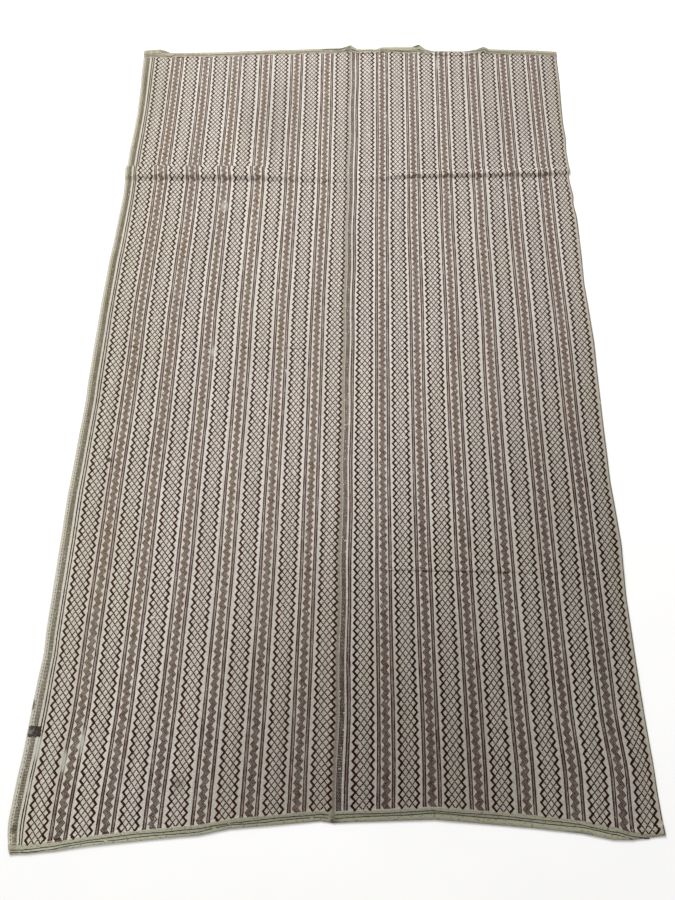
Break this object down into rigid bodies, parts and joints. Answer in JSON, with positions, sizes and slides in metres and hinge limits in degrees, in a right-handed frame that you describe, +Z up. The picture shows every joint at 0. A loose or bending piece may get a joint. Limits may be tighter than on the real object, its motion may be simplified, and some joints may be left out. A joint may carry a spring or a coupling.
{
  "type": "two-width handwoven cloth",
  "caption": "Long flat handwoven cotton cloth of two loom widths seamed up the middle, striped with lattice and zigzag columns, with plain hemmed ends.",
  "frame": {"origin": "under the middle of the cloth's box, on the surface that it lies on", "axes": "+Z up, +Y along the warp from the near hem to the far hem, +X across the cloth to the right"},
  "size_m": [1.336, 2.284, 0.0156],
  "materials": {
    "patterned_weave": "matt handspun cotton, cream ground with dark maroon floats",
    "ground_weave": "matt cream handspun cotton in plain weave, yellowed at the hems",
    "maroon_yarn": "matt dark maroon cotton yarn, a little faded",
    "mauve_yarn": "matt faded mauve cotton yarn",
    "olive_yarn": "matt olive-black cotton yarn of the hem lines",
    "sewing_thread": "pale cotton sewing thread",
    "mend_cloth": "small worn patch of grey and dark brown cotton"
  },
  "bodies": {
    "root": {"left_panel": "patterned_weave", "right_panel": "patterned_weave", "edge_mend": "mend_cloth"}
  },
  "joints": []
}
